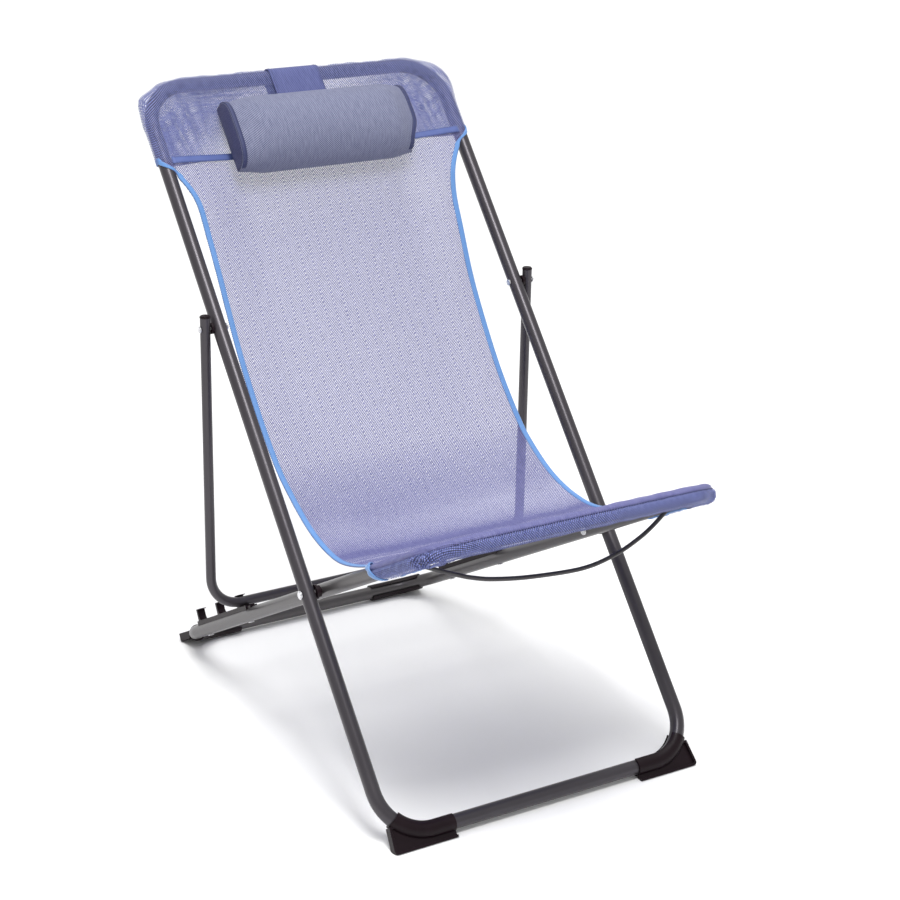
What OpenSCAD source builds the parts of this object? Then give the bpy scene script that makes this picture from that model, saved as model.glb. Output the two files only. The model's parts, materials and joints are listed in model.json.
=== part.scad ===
// Folding beach chair: a long back frame, a seat frame pivoted inside it, and a prop
// whose cross tube rests in toothed racks on the seat frame. A mesh sling hangs between
// the top rail and the front rail, with a head pillow strapped over the top.
// Millimetres. +X is the sitter's left, -Y is the front of the chair, +Z is up.
// The chair stands on Z = 0, centred on X = 0, Y = 0.

/* [Back frame] */
// Lean of the back frame from the floor, degrees
back_angle = 50; // [45:0.5:55]
// Half the distance between the centres of the back frame's side tubes
back_half = 263; // [250:1:280]
// Distance along the back frame from the floor rail to the top rail
back_len = 1208; // [1150:1:1260]
// Outside diameter of the back and seat frame tubes
tube_d = 22; // [19:0.5:25]
// Wall of every tube
tube_wall = 1.2; // [1:0.1:2]
// Centreline radius of the bends in the back and seat frames
bend_r = 70; // [60:1:80]
// Height of the floor rails' centres above the floor
rail_z = 15.4; // [14:0.1:18]

/* [Seat frame] */
// Slope of the seat frame, rising to the front, degrees
seat_angle = 28.9; // [26:0.1:32]
// Half the distance between the centres of the seat frame's side tubes
seat_half = 232; // [224:1:236]
// Distance along the back frame from its floor rail to the seat pivot
seat_pivot_s = 371.4; // [360:0.1:385]
// Reach of the seat frame from its pivot to the front rail
seat_front = 360; // [330:1:370]

/* [Prop] */
// Outside diameter of the prop tube
prop_d = 15.6; // [14:0.2:18]
// Half the distance between the centres of the prop's legs
prop_half = 286; // [284:1:292]
// Distance along the back frame from its floor rail to the prop pivot
prop_pivot_s = 799.8; // [780:0.1:820]
// Angle of the prop's legs below level, degrees
prop_angle = 89.3; // [85:0.1:94]
// Length of the prop from its pivot to the cross tube
prop_len = 456.5; // [450:0.1:460]
// Centreline radius of the prop's bends
prop_bend_r = 52; // [45:1:60]
// How far the legs run on past the pivot
prop_tail = 18; // [14:1:24]

/* [Pivots] */
// Radius of the seat pivot's rivet
seat_rivet_r = 4; // [3:0.5:5]
// Radius of the prop pivot's rivet
prop_rivet_r = 3; // [2.5:0.5:4]
// Running clearance of a rivet in a moving tube, on radius
running_gap = 0.06; // [0.02:0.01:0.1]

/* [Racks] */
// Distance between two hooks along the seat frame
hook_pitch = 85; // [80:1:90]
// Height of the saddle strip above the tube's top
rack_lift = 4.4; // [3:0.1:6]
// Width of a hook
hook_w = 13; // [10:0.5:16]
// Number of hooks on each rack
hook_count = 3; // [2:1:3]

/* [Sling] */
// Thickness of the woven sling as a solid
sling_t = 2.4; // [1.6:0.1:3]
// Half the width of the sling between its bindings
sling_half = 219; // [205:1:219]
// How far the head pocket reaches down from the top rail's centre
head_pocket_len = 130; // [110:1:150]
// How far the front pocket reaches back from the front rail's centre
front_pocket_len = 210; // [180:1:225]

/* [Head pillow] */
// Length of the pillow across the chair
pillow_len = 316; // [280:1:360]
// Radius of the pillow's round front
pillow_r = 59; // [45:1:62]
// Distance of the pillow's centre below the top rail's centre
pillow_drop = 111; // [105:1:140]
// Width of the strap over the top rail
strap_w = 88; // [60:1:110]

/* [Retaining cord] */
// Diameter of the retaining cord
cord_d = 6.5; // [5:0.1:8]

/* [Hidden] */
$fn = 48;
tube_r = tube_d / 2;
prop_r = prop_d / 2;
// The seat frame's pivot, and the pivot of the prop, as [Y, Z]
seat_pivot = [seat_pivot_s * cos(back_angle), rail_z + seat_pivot_s * sin(back_angle)];
prop_pivot = [prop_pivot_s * cos(back_angle), rail_z + prop_pivot_s * sin(back_angle)];
// Reach of the seat frame from its pivot down to the rear floor rail
seat_rear = (seat_pivot[1] - rail_z) / sin(seat_angle);
// Middle of the whole chair in Y, so that the origin is under the bounding box
mid_y = 350.02;
// Joints between the U halves of the frames, hidden under the pockets
back_joint_s = back_len - 100;
seat_joint = 265;
joint_gap = 0.1;
// The prop's cross tube in the seat frame's own plane: distance behind the pivot, and height
cross = [prop_pivot[0] + prop_len * cos(prop_angle), prop_pivot[1] - prop_len * sin(prop_angle)];
cross_rel = cross - seat_pivot;
cross_back = cross_rel[0] * cos(seat_angle) - cross_rel[1] * sin(seat_angle);
cross_up = cross_rel[0] * sin(seat_angle) + cross_rel[1] * cos(seat_angle);
// Tube feet: how far the sleeve runs round the bend, and along the rail
foot_turn = 52;
foot_rail = 33;
foot_r = 13.7;
foot_gap = 0.06;
// The slot along the inside of a foot's sleeve: width, and distance from the tube's centre
slot_w = 15;
slot_depth = 6;
// The web outside a foot's bend: thickness, reach beyond the rail, rise up the leg, lean of its side
web_t = 13;
web_reach = 23;
web_rise = 17;
web_lean = 6;
web_over = 2;
web_depth = 34;
web_rim = 3.5;
web_dish = 3;
web_corner = 6;
// Cutters for the feet: along the leg, into the slot, and beyond the web's inner end
leg_room = 80;
slot_room = 20;
rail_lap = 10;
web_room = [80, 40];
// Gaps between neighbours: held together, or turning past each other
held_gap = 0.05;
seat_gap = 0.4;
prop_gap = 0.35;
// Sleeves inside the joints of the U halves: clearance, wall, and length of each pair
sleeve_gap = 0.1;
sleeve_wall = 1.2;
back_sleeve = 56;
back_sleeve_low = 30;
seat_sleeve = 26;
seat_sleeve_low = 18;
// Pivots: radii of the rivets' heads and of the bushes, and a head's two steps
seat_head_r = 6.5;
prop_head_r = 5;
seat_bush_r = 9;
seat_flange_r = 11;
seat_flange_t = 3.35;
prop_bush_r = 8.5;
head_t = 1.6;
dome_t = 1;
dome_step = 1.4;
tail_t = 2;
// Pocket cloth: clearance round the tube, and wall
cloth_gap = 0.4;
cloth_t = 1.4;
pocket_r = tube_r + cloth_gap + cloth_t;
// The sheet between a pocket's tubes is a little thinner than the tubes' own cover
sheet_less = 1;
// Hem of the front pocket underneath, from the middle of its tubes
hem_reach = 24;
strap_gap = 0.5;
strap_r = pocket_r + strap_gap;
strap_t = 1.5;
// The strap's sewn-on tail: how far below the top rail it ends, and its length
tail_end = 85;
tail_len = 68;
// Pillow: how far its centre stands out, its cover's thickness, and gaps to its strap and foam
pillow_out = 22;
cover_t = 1.6;
cover_gap = 0.2;
pillow_gap = 0.3;
// Ends of the sling's halves: the first hangs from the head pocket past the low point,
// the second runs on to the front pocket
sling_top = back_point(back_len - head_pocket_len - 1, 0);
sling_low = [339, 372];
sling_split = [117.5, 380.4];
BACK_CURVE = [sling_top, [600, 680], [470, 445], sling_low];
LOW_CURVE = [sling_low, [280, 340], [190, 338], sling_split];
// The retaining cord's route between the seat frame's side tubes, drooping more on one side
CORD_ROUTE = [
    [-215, 15, 420], [-207, 15, 416], [-190, 14, 408], [-170, 13, 399], [-150, 13, 390.5],
    [-129, 12, 382.5], [-97, 12, 373], [-47, 12, 364], [4, 12, 358.5], [40, 12, 356],
    [65, 12, 356], [90, 12, 359], [125, 12, 368], [159, 12, 383], [180, 13, 395],
    [198, 14, 408], [207, 15, 415], [215, 15, 420]
];

// The cord's ends in the seat frame's plane: distance behind the pivot, and height
cord_end_x = CORD_ROUTE[len(CORD_ROUTE) - 1][0];
cord_end_rel = [CORD_ROUTE[0][1], CORD_ROUTE[0][2]] - seat_pivot;
cord_end = [
    cord_end_rel[0] * cos(seat_angle) - cord_end_rel[1] * sin(seat_angle),
    cord_end_rel[0] * sin(seat_angle) + cord_end_rel[1] * cos(seat_angle)
];
// Its plugs: radii of the plug and its stub, the stub's reach into the tube, and room in the pocket
plug_r = 5;
plug_stub_r = 2;
stub_reach = 4;
stub_start = 2;
plug_room = 0.5;
// Racks: half width and lower edge of the saddle, its reach past the first and last hooks,
// and the narrow tongue at its front end
rack_half = 8;
rack_low = 5;
rack_front = 38;
rack_rear = 16;
tongue_half = 6;
tongue_len = 14;
tongue_lap = 6;
tongue_low = 8;
tongue_drop = 2;
// Hooks: clearance round the prop's cross tube, post behind it, lip over it, and open front
hook_gap = 0.5;
hook_post = 4.9;
hook_sink = 1;
lip_rise = 2.2;
lip_t = 1.2;
hook_mouth = 3;
// Rack rivets: radii of the shank and its head, clearance, and how far it stops below the strip's top
rack_pin_r = 2;
rack_head_r = 4.5;
rack_head_t = 1.5;
rack_pin_gap = 0.05;
rack_skin = 1.5;
rack_pin_short = 0.1;
rack_rivet_y = [cross_back - 14, cross_back + 2 * hook_pitch - 10];
// Prop caps: brim and dome heights, and the plug inside the tube
cap_t = 1.6;
cap_brim = 0.4;
cap_step = 1;
cap_plug = 10;
// How far a cutting shape runs past what it cuts
past = 1;

// ---- Points and curves ----

// A point [Y, Z] at distance s up the back frame and n in front of its plane
function back_point(s, n) = [
    s * cos(back_angle) - n * sin(back_angle),
    rail_z + s * sin(back_angle) + n * cos(back_angle)
];

// A point on a cubic Bezier curve
function bezier(c, t) =
    pow(1 - t, 3) * c[0] + 3 * pow(1 - t, 2) * t * c[1] + 3 * (1 - t) * t * t * c[2] + pow(t, 3) * c[3];

// Its direction
function bezier_dir(c, t) =
    3 * pow(1 - t, 2) * (c[1] - c[0]) + 6 * (1 - t) * t * (c[2] - c[1]) + 3 * t * t * (c[3] - c[2]);

// A ribbon outline of thickness w along a list of curve samples [point, direction]
function side_of(p, w) = p[0] + w / 2 * [-p[1][1], p[1][0]] / norm(p[1]);
function ribbon(samples, w) = concat(
    [for (p = samples) side_of(p, w)],
    [for (i = [len(samples) - 1 : -1 : 0]) side_of(samples[i], -w)]
);
function samples(c, from, to, n) =
    [for (i = [0 : n]) let (t = from + (to - from) * i / n) [bezier(c, t), bezier_dir(c, t)]];

// ---- Frames of reference: X stays across the chair ----

module centred() {
    translate([0, -mid_y, 0]) children();
}

// Y runs up the back frame from its floor rail, Z out of its front
module on_back() {
    centred() translate([0, 0, rail_z]) rotate([back_angle, 0, 0]) children();
}

// Y runs back along the seat frame from its pivot, Z out of its top
module on_seat() {
    centred() translate([0, seat_pivot[0], seat_pivot[1]]) rotate([-seat_angle, 0, 0]) children();
}

// Y runs down the prop's legs from its pivot, Z out of its rear
module on_prop() {
    centred() translate([0, prop_pivot[0], prop_pivot[1]]) rotate([-prop_angle, 0, 0]) children();
}

// The part of the children that is above the floor
module above_floor() {
    intersection() {
        children();
        translate([-500, -1000, 0]) cube([1000, 2000, 1500]);
    }
}

// An outline in [Y, Z] drawn out across the chair
module across(half) {
    centred() rotate([90, 0, 90]) translate([0, 0, -half]) linear_extrude(2 * half) children();
}

// ---- Tubes ----

// A solid bar along the U: rail across at Y = 0, legs out to Y = leg
module u_bar(half, leg, r, bend) {
    rotate([0, 90, 0]) cylinder(h = 2 * (half - bend), r = r, center = true);
    for (side = [-1, 1]) {
        translate([side * half, bend, 0]) rotate([-90, 0, 0]) cylinder(h = leg - bend, r = r);
        translate([side * (half - bend), bend, 0])
            rotate([0, 0, side < 0 ? 180 : 270])
                rotate_extrude(angle = 90) translate([bend, 0]) circle(r);
    }
}

module u_tube(half, leg, r, bend) {
    difference() {
        u_bar(half, leg, r, bend);
        u_bar(half, leg + past, r - tube_wall, bend);
    }
}

// A pin across the chair from x0 to x1 at the given Y and Z
module cross_pin(x0, x1, r, y = 0, z = 0) {
    translate([min(x0, x1), y, z]) rotate([0, 90, 0]) cylinder(h = abs(x1 - x0), r = r);
}

module both_sides() {
    children();
    mirror([1, 0, 0]) children();
}

// ---- Moulded corner feet ----

// The foot of the -X corner of a frame whose rail is at Y = 0 and legs run to +Y
module corner_foot(half) {
    arm = half - bend_r;
    difference() {
        union() {
            translate([-arm, 0, 0]) rotate([0, 90, 0]) cylinder(h = foot_rail, r = foot_r);
            translate([-arm, bend_r, 0])
                rotate([0, 0, 270 - foot_turn])
                    rotate_extrude(angle = foot_turn) translate([bend_r, 0]) circle(foot_r);
            foot_web(half, arm);
        }
        u_bar(half, bend_r + leg_room, tube_r + foot_gap, bend_r);
        // The slot down the inside of the sleeve
        translate([-arm, bend_r, 0])
            linear_extrude(slot_w, center = true) circle(bend_r - slot_depth);
        translate([-arm, slot_depth, -slot_w / 2]) cube([foot_rail + 2 * past, slot_room, slot_w]);
    }
}

// The web outside the bend, dished on both faces inside a rim
module foot_web(half, arm) {
    difference() {
        linear_extrude(web_t, center = true) web_outline(half, arm, 0);
        for (face = [-1, 1]) translate([0, 0, face * web_t / 2])
            linear_extrude(web_t - 2 * web_dish, center = true) web_outline(half, arm, web_rim);
    }
}

module web_outline(half, arm, inset) {
    corner = [-half + web_corner, -web_reach + web_corner];
    // Where the leaning side meets the rounded corner, and where it ends at the top
    low = corner + (web_corner - inset) * [-cos(web_lean), sin(web_lean)];
    top = web_rise - inset;
    difference() {
        union() {
            polygon([corner, low, [low[0] + (top - low[1]) * tan(web_lean), top], [corner[0] + web_depth, top],
                [corner[0] + web_depth, corner[1]]]);
            translate([corner[0], -web_reach + inset])
                square([foot_rail + bend_r - web_corner, web_reach - inset]);
            translate(corner) circle(web_corner - inset);
        }
        translate([-arm, bend_r]) circle(bend_r + web_over);
        translate([-arm - rail_lap, inset - web_corner]) square(web_room);
    }
}

// ---- Back frame ----

module back_lower_tube() {
    color("#55555a") difference() {
        on_back() u_tube(back_half, back_joint_s, tube_r, bend_r);
        on_back() both_sides() {
            cross_pin(back_half - tube_d, back_half + tube_d, seat_rivet_r, seat_pivot_s);
            cross_pin(back_half - tube_d, back_half + tube_d, prop_rivet_r, prop_pivot_s);
        }
    }
}

module back_upper_tube() {
    color("#55555a") on_back() translate([0, back_len, 0]) mirror([0, 1, 0])
        u_tube(back_half, back_len - back_joint_s - joint_gap, tube_r, bend_r);
}

// Sleeves inside the side tubes, across the joints of the U halves
module back_tube_joiners() {
    color("#9a9a9c") on_back() both_sides() translate([back_half, back_joint_s - back_sleeve_low, 0])
        joiner(back_sleeve);
}

module joiner(len) {
    rotate([-90, 0, 0]) difference() {
        cylinder(h = len, r = tube_r - tube_wall - sleeve_gap);
        translate([0, 0, -past])
            cylinder(h = len + 2 * past, r = tube_r - tube_wall - sleeve_gap - sleeve_wall);
    }
}

module back_foot_left() {
    color("#221d22") above_floor() on_back() mirror([1, 0, 0]) corner_foot(back_half);
}

module back_foot_right() {
    color("#221d22") above_floor() on_back() corner_foot(back_half);
}

// ---- Pivots ----

// A rivet through two tubes from x0 out to x1, with a low domed head at each end
module rivet(x0, x1, r, head_r) {
    cross_pin(x0, x1, r);
    cross_pin(x1, x1 + head_t, head_r);
    cross_pin(x1 + head_t, x1 + head_t + dome_t, head_r - dome_step);
    cross_pin(x0 - tail_t, x0, head_r);
}

module seat_pivot_rivets() {
    color("#c8c8cc") on_back() both_sides() translate([0, seat_pivot_s, 0])
        rivet(seat_half - tube_r - seat_gap, back_half + tube_r, seat_rivet_r, seat_head_r);
}

module seat_pivot_bushes() {
    color("#1c181c") on_back() both_sides() translate([0, seat_pivot_s, 0]) difference() {
        union() {
            cross_pin(back_half - tube_r - held_gap - seat_flange_t, back_half - tube_r - held_gap, seat_flange_r);
            cross_pin(seat_half + tube_r + seat_gap, back_half - tube_r - seat_flange_t, seat_bush_r);
        }
        cross_pin(seat_half, back_half, seat_rivet_r);
    }
}

module prop_pivot_rivets() {
    color("#c8c8cc") on_back() both_sides() translate([0, prop_pivot_s, 0])
        rivet(back_half - tube_r - held_gap, prop_half + prop_r + prop_gap, prop_rivet_r, prop_head_r);
}

module prop_pivot_bushes() {
    color("#1c181c") on_back() both_sides() translate([0, prop_pivot_s, 0]) difference() {
        cross_pin(back_half + tube_r + held_gap, prop_half - prop_r - prop_gap, prop_bush_r);
        cross_pin(back_half, prop_half, prop_rivet_r);
    }
}

// ---- Sling ----

// From the head pocket down past the low point, as far as the seat frame's share
module sling_back() {
    color("#9c9bc4") across(sling_half)
        polygon(ribbon(concat(samples(BACK_CURVE, 0, 0.96, 14), samples(LOW_CURVE, 0, 0.84, 10)), sling_t));
}

// From there to the front pocket
module sling_seat() {
    color("#8a8fc8") across(sling_half)
        polygon(ribbon(samples(LOW_CURVE, 0.88, 0.995, 4), sling_t));
}

// A U-shaped bag of cloth round a frame's end, its rail at Y = 0 and its mouth at Y = len
module pocket(half, len) {
    difference() {
        union() {
            u_bar(half, len, pocket_r, bend_r);
            pocket_sheet(half, len, 2 * pocket_r - sheet_less);
        }
        u_bar(half, len + past, pocket_r - cloth_t, bend_r);
        pocket_sheet(half, len + past, 2 * (pocket_r - cloth_t) - sheet_less);
    }
}

module pocket_sheet(half, len, t) {
    translate([0, 0, -t / 2]) linear_extrude(t) {
        translate([-half, bend_r]) square([2 * half, len - bend_r]);
        translate([-half + bend_r, 0]) square([2 * (half - bend_r), bend_r + past]);
        intersection() {
            union() for (side = [-1, 1]) translate([side * (half - bend_r), bend_r]) circle(bend_r);
            translate([-half, 0]) square([2 * half, bend_r + past]);
        }
    }
}

module head_pocket() {
    color("#5a6190") on_back() translate([0, back_len, 0]) mirror([0, 1, 0])
        pocket(back_half, head_pocket_len);
}

// The front pocket is cut away underneath, behind the rail
module front_pocket() {
    color("#5f68ac") on_seat() translate([0, -seat_front, 0]) difference() {
        pocket(seat_half, front_pocket_len);
        translate([-seat_half + hem_reach, hem_reach, -tube_d])
            cube([2 * (seat_half - hem_reach), front_pocket_len, tube_d]);
        both_sides() cross_pin(seat_half - tube_d, seat_half, plug_r + plug_room, seat_front + cord_end[0], cord_end[1]);
    }
}

// ---- Head pillow ----

// The pillow's frame: X across, Y along the back, Z out of the front
module on_pillow(half) {
    on_back() translate([-half, back_len - pillow_drop, 0]) rotate([90, 0, 90])
        linear_extrude(2 * half) translate([0, pillow_out]) children();
}

module pillow_cover() {
    color("#6a7099") difference() {
        on_pillow(pillow_len / 2) pillow_half(pillow_r, 0);
        on_pillow(pillow_len / 2 - cover_t) pillow_half(pillow_r - cover_t, cover_t);
    }
}

module pillow_foam() {
    inset = cover_t + cover_gap;
    color("#f0ead8") on_pillow(pillow_len / 2 - inset) pillow_half(pillow_r - inset, inset);
}

// The D-shaped section: a circle cut flat on the side that lies on the sling
module pillow_half(r, lift) {
    intersection() {
        circle(r, $fn = 72);
        translate([-r, strap_r + strap_t + pillow_gap - pillow_out + lift]) square(2 * r);
    }
}

// The strap's front run and the turn over the rail, as far as the crest
module pillow_strap() {
    color("#565e8e") on_back() translate([-strap_w / 2, back_len, 0]) rotate([90, 0, 90])
        linear_extrude(strap_w) {
            translate([-pillow_drop, strap_r]) square([pillow_drop, strap_t]);
            intersection() {
                ring(strap_r, strap_t);
                square(2 * strap_r);
            }
        }
}

// The strap's back run, sewn to the back of the head pocket
module strap_tail() {
    color("#565e8e") on_back() translate([-strap_w / 2, back_len - tail_end, -strap_r - strap_t])
        cube([strap_w, tail_len, strap_t]);
}

module ring(r, t) {
    difference() {
        circle(r + t, $fn = 72);
        circle(r, $fn = 72);
    }
}

// ---- Seat frame ----

module seat_rear_tube() {
    color("#6e6e70") difference() {
        on_seat() translate([0, seat_rear, 0]) mirror([0, 1, 0])
            u_tube(seat_half, seat_rear + seat_joint, tube_r, bend_r);
        on_seat() both_sides() {
            cross_pin(seat_half - tube_d, seat_half + tube_d, seat_rivet_r + running_gap);
            for (y = rack_rivet_y) translate([seat_half, y, -tube_d]) cylinder(h = 2 * tube_d, r = rack_pin_r);
            cross_pin(cord_end_x, seat_half, plug_stub_r, cord_end[0], cord_end[1]);
        }
    }
}

module seat_front_tube() {
    color("#6e6e70") on_seat() translate([0, -seat_front, 0])
        u_tube(seat_half, seat_front - seat_joint - joint_gap, tube_r, bend_r);
}

module seat_tube_joiners() {
    color("#9a9a9c") on_seat() both_sides() translate([seat_half, -seat_joint - seat_sleeve_low, 0])
        joiner(seat_sleeve);
}

module seat_foot_left() {
    color("#221d22") above_floor() on_seat() translate([0, seat_rear, 0]) rotate([0, 0, 180])
        corner_foot(seat_half);
}

module seat_foot_right() {
    color("#221d22") above_floor() on_seat() translate([0, seat_rear, 0]) mirror([0, 1, 0])
        corner_foot(seat_half);
}

// ---- Racks ----

// A saddle strip on the tube with hooks that open to the front
module rack() {
    first = cross_back - rack_front;
    last = cross_back + (hook_count - 1) * hook_pitch + rack_rear;
    top = tube_r + rack_lift;
    difference() {
        union() {
            translate([-rack_half, first + tongue_len, rack_low])
                cube([2 * rack_half, last - first - tongue_len, top - rack_low]);
            translate([-tongue_half, first, tongue_low])
                cube([2 * tongue_half, tongue_len + tongue_lap, top - tongue_low - tongue_drop]);
            for (i = [0 : hook_count - 1]) translate([0, cross_back + i * hook_pitch, cross_up]) hook();
        }
        translate([0, first - past, 0]) rotate([-90, 0, 0])
            cylinder(h = last - first + 2 * past, r = tube_r + foot_gap);
        for (y = rack_rivet_y) translate([0, y, 0]) cylinder(h = top - rack_skin, r = rack_pin_r + rack_pin_gap);
    }
}

// One hook round a tube centred on the origin: a post behind it and a lip over its back
module hook() {
    low = -prop_r - hook_sink;
    rotate([90, 0, 90]) translate([0, 0, -hook_w / 2]) linear_extrude(hook_w) difference() {
        translate([0, low]) square([prop_r + hook_gap + hook_post, prop_r + lip_rise + lip_t - low]);
        circle(prop_r + hook_gap);
        translate([-past, low - past]) square([hook_mouth + past, prop_r + lip_rise - low + past]);
        translate([-past, 0]) square([prop_r + hook_gap + past, prop_r + lip_rise]);
    }
}

module rack_left() {
    color("#2a2428") on_seat() translate([seat_half, 0, 0]) rack();
}

module rack_right() {
    color("#2a2428") on_seat() translate([-seat_half, 0, 0]) rack();
}

module rack_rivets() {
    color("#d0d0d4") on_seat() for (side = [-1, 1], y = rack_rivet_y)
        translate([side * seat_half, y, -tube_r]) {
            cylinder(h = 2 * tube_r + rack_lift - rack_skin - rack_pin_short, r = rack_pin_r);
            translate([0, 0, -rack_head_t]) cylinder(h = rack_head_t, r = rack_head_r);
        }
}

// ---- Retaining cord ----

// Points between the route's own points, on a smooth curve through them
function smooth(a, b, c, d, t) =
    b + t / 2 * (c - a + t * (2 * a - 5 * b + 4 * c - d + t * (3 * (b - c) + d - a)));
function route_at(i) = CORD_ROUTE[max(0, min(len(CORD_ROUTE) - 1, i))];
CORD_PATH = concat(
    [for (i = [0 : len(CORD_ROUTE) - 2], t = [0, 0.5])
        smooth(route_at(i - 1), route_at(i), route_at(i + 1), route_at(i + 2), t)],
    [route_at(len(CORD_ROUTE) - 1)]
);

// The direction at a point of the path: straight across the chair at both ends
function path_dir(i) = i == 0 || i == len(CORD_PATH) - 1 ? [1, 0, 0]
    : (CORD_PATH[i + 1] - CORD_PATH[i - 1]) / norm(CORD_PATH[i + 1] - CORD_PATH[i - 1]);
function cord_ring(i) = let (
    along = path_dir(i),
    out = cross([0, 1, 0], along) / norm(cross([0, 1, 0], along)),
    side = cross(along, out)
) [for (k = [0 : 9]) CORD_PATH[i] + cord_d / 2 * (cos(36 * k) * out + sin(36 * k) * side)];

module stay_cord() {
    rings = len(CORD_PATH);
    points = [for (i = [0 : rings - 1]) each cord_ring(i)];
    walls = [for (i = [0 : rings - 2], k = [0 : 9])
        [10 * i + k, 10 * i + (k + 1) % 10, 10 * (i + 1) + (k + 1) % 10, 10 * (i + 1) + k]];
    ends = [[for (k = [9 : -1 : 0]) k], [for (k = [0 : 9]) 10 * (rings - 1) + k]];
    color("#2b2a2d") centred() polyhedron(points, concat(walls, ends));
}

// A moulded plug at each end of the cord, its stub pressed into the inside of a side tube
module cord_plugs() {
    color("#221d22") on_seat() both_sides() {
        cross_pin(cord_end_x, seat_half - tube_r - held_gap, plug_r, cord_end[0], cord_end[1]);
        cross_pin(cord_end_x + stub_start, seat_half - tube_r + stub_reach, plug_stub_r, cord_end[0], cord_end[1]);
    }
}

// ---- Prop ----

module prop_tube() {
    color("#55555a") difference() {
        on_prop() translate([0, prop_len, 0]) mirror([0, 1, 0])
            u_tube(prop_half, prop_len + prop_tail, prop_r, prop_bend_r);
        on_prop() both_sides() cross_pin(prop_half - tube_d, prop_half + tube_d, prop_rivet_r + running_gap);
    }
}

module prop_caps() {
    color("#221d22") on_prop() both_sides() translate([prop_half, -prop_tail, 0]) rotate([90, 0, 0]) {
        cylinder(h = cap_t, r = prop_r + cap_brim);
        translate([0, 0, cap_t]) cylinder(h = cap_t, r = prop_r - cap_step);
        translate([0, 0, -cap_plug]) cylinder(h = cap_plug, r = prop_r - tube_wall - held_gap);
    }
}

back_lower_tube();
back_upper_tube();
back_tube_joiners();
back_foot_left();
back_foot_right();
seat_pivot_rivets();
seat_pivot_bushes();
prop_pivot_rivets();
prop_pivot_bushes();
sling_back();
head_pocket();
strap_tail();
pillow_cover();
pillow_foam();
pillow_strap();
seat_rear_tube();
seat_front_tube();
seat_tube_joiners();
rack_left();
rack_right();
rack_rivets();
seat_foot_left();
seat_foot_right();
sling_seat();
front_pocket();
stay_cord();
cord_plugs();
prop_tube();
prop_caps();
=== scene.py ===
"""Looks of the folding beach chair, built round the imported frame. Metres, in the frame's own axes:
+X towards the sitter's left, -Y to the front, +Z up."""

import json
import math

import bmesh
import bpy
import numpy as np
from mathutils import Matrix, Vector
from mathutils.bvhtree import BVHTree


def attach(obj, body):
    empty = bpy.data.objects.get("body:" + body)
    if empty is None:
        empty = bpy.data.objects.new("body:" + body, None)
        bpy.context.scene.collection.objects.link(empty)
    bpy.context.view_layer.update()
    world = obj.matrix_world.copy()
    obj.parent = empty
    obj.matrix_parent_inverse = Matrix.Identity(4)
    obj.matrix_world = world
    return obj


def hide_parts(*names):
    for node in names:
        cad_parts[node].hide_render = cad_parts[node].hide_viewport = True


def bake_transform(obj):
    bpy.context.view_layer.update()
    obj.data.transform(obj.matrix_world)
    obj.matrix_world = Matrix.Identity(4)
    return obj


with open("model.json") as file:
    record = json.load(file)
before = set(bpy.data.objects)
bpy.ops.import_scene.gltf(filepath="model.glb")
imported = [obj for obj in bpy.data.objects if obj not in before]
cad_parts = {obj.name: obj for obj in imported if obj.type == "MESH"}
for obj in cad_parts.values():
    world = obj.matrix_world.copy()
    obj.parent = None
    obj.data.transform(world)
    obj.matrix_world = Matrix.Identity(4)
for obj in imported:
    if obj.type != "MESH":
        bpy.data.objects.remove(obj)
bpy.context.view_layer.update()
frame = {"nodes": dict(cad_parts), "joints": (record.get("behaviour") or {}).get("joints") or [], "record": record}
scene = bpy.context.scene


# ---- The chair's own axes, from the frame's joints ----

JOINTS = {j["name"]: np.array(j["pos_m"], float) for j in frame["joints"]}
SEAT_PIVOT = JOINTS["seat_fold"]
TOP_RAIL = JOINTS["pillow_lift"]
ACROSS = np.array([1.0, 0.0, 0.0])
BACK_UP = (TOP_RAIL - SEAT_PIVOT) / np.linalg.norm(TOP_RAIL - SEAT_PIVOT)
BACK_OUT = np.cross(ACROSS, BACK_UP)
SEAT_SLOPE = math.radians(28.9)
SEAT_FORWARD = np.array([0.0, -math.cos(SEAT_SLOPE), math.sin(SEAT_SLOPE)])
SEAT_OUT = np.cross(SEAT_FORWARD, ACROSS)

TUBE_R = 0.011
BEND_R = 0.070
BACK_HALF = 0.263
SEAT_HALF = 0.232
SEAT_FRONT = 0.360
CLOTH_T = 0.0014
CLOTH_R = TUBE_R + 0.0008  # from a tube's centre to the middle of the cloth round it
FLOOR_RAIL = 0.35002  # how far the back frame's floor rail lies in front of the frame's origin

HEAD_MOUTH = 0.130  # the head pocket's reach below the top rail's centre
SEAT_MOUTH = 0.145  # where the sling meets the seat frame's side tubes, in front of the pivot
SEAT_MOUTH_UNDER = 0.200  # where the front pocket's mouth reaches the underside of the tube


def on_back(x, down, out):
    """Points on the back frame: across, down from the top rail's centre, and out of its front."""
    x, down, out = np.broadcast_arrays(*map(np.asarray, (x, down, out)))
    return TOP_RAIL + x[..., None] * ACROSS - down[..., None] * BACK_UP + out[..., None] * BACK_OUT


def on_seat(x, forward, out):
    """Points on the seat frame: across, forward of its pivot, and out of its top."""
    x, forward, out = np.broadcast_arrays(*map(np.asarray, (x, forward, out)))
    return SEAT_PIVOT + x[..., None] * ACROSS + forward[..., None] * SEAT_FORWARD + out[..., None] * SEAT_OUT


# ---- Camera: the photograph's viewing angle ----

CAMERA_PLACE = (-1.5485, -2.5941, 1.5437)
CAMERA_AZIMUTH, CAMERA_PITCH, CAMERA_ROLL = -31.47, 19.88, 0.71  # degrees
CAMERA_LENS, CAMERA_SHIFT = 84.5, (0.0024, -0.0090)


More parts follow.
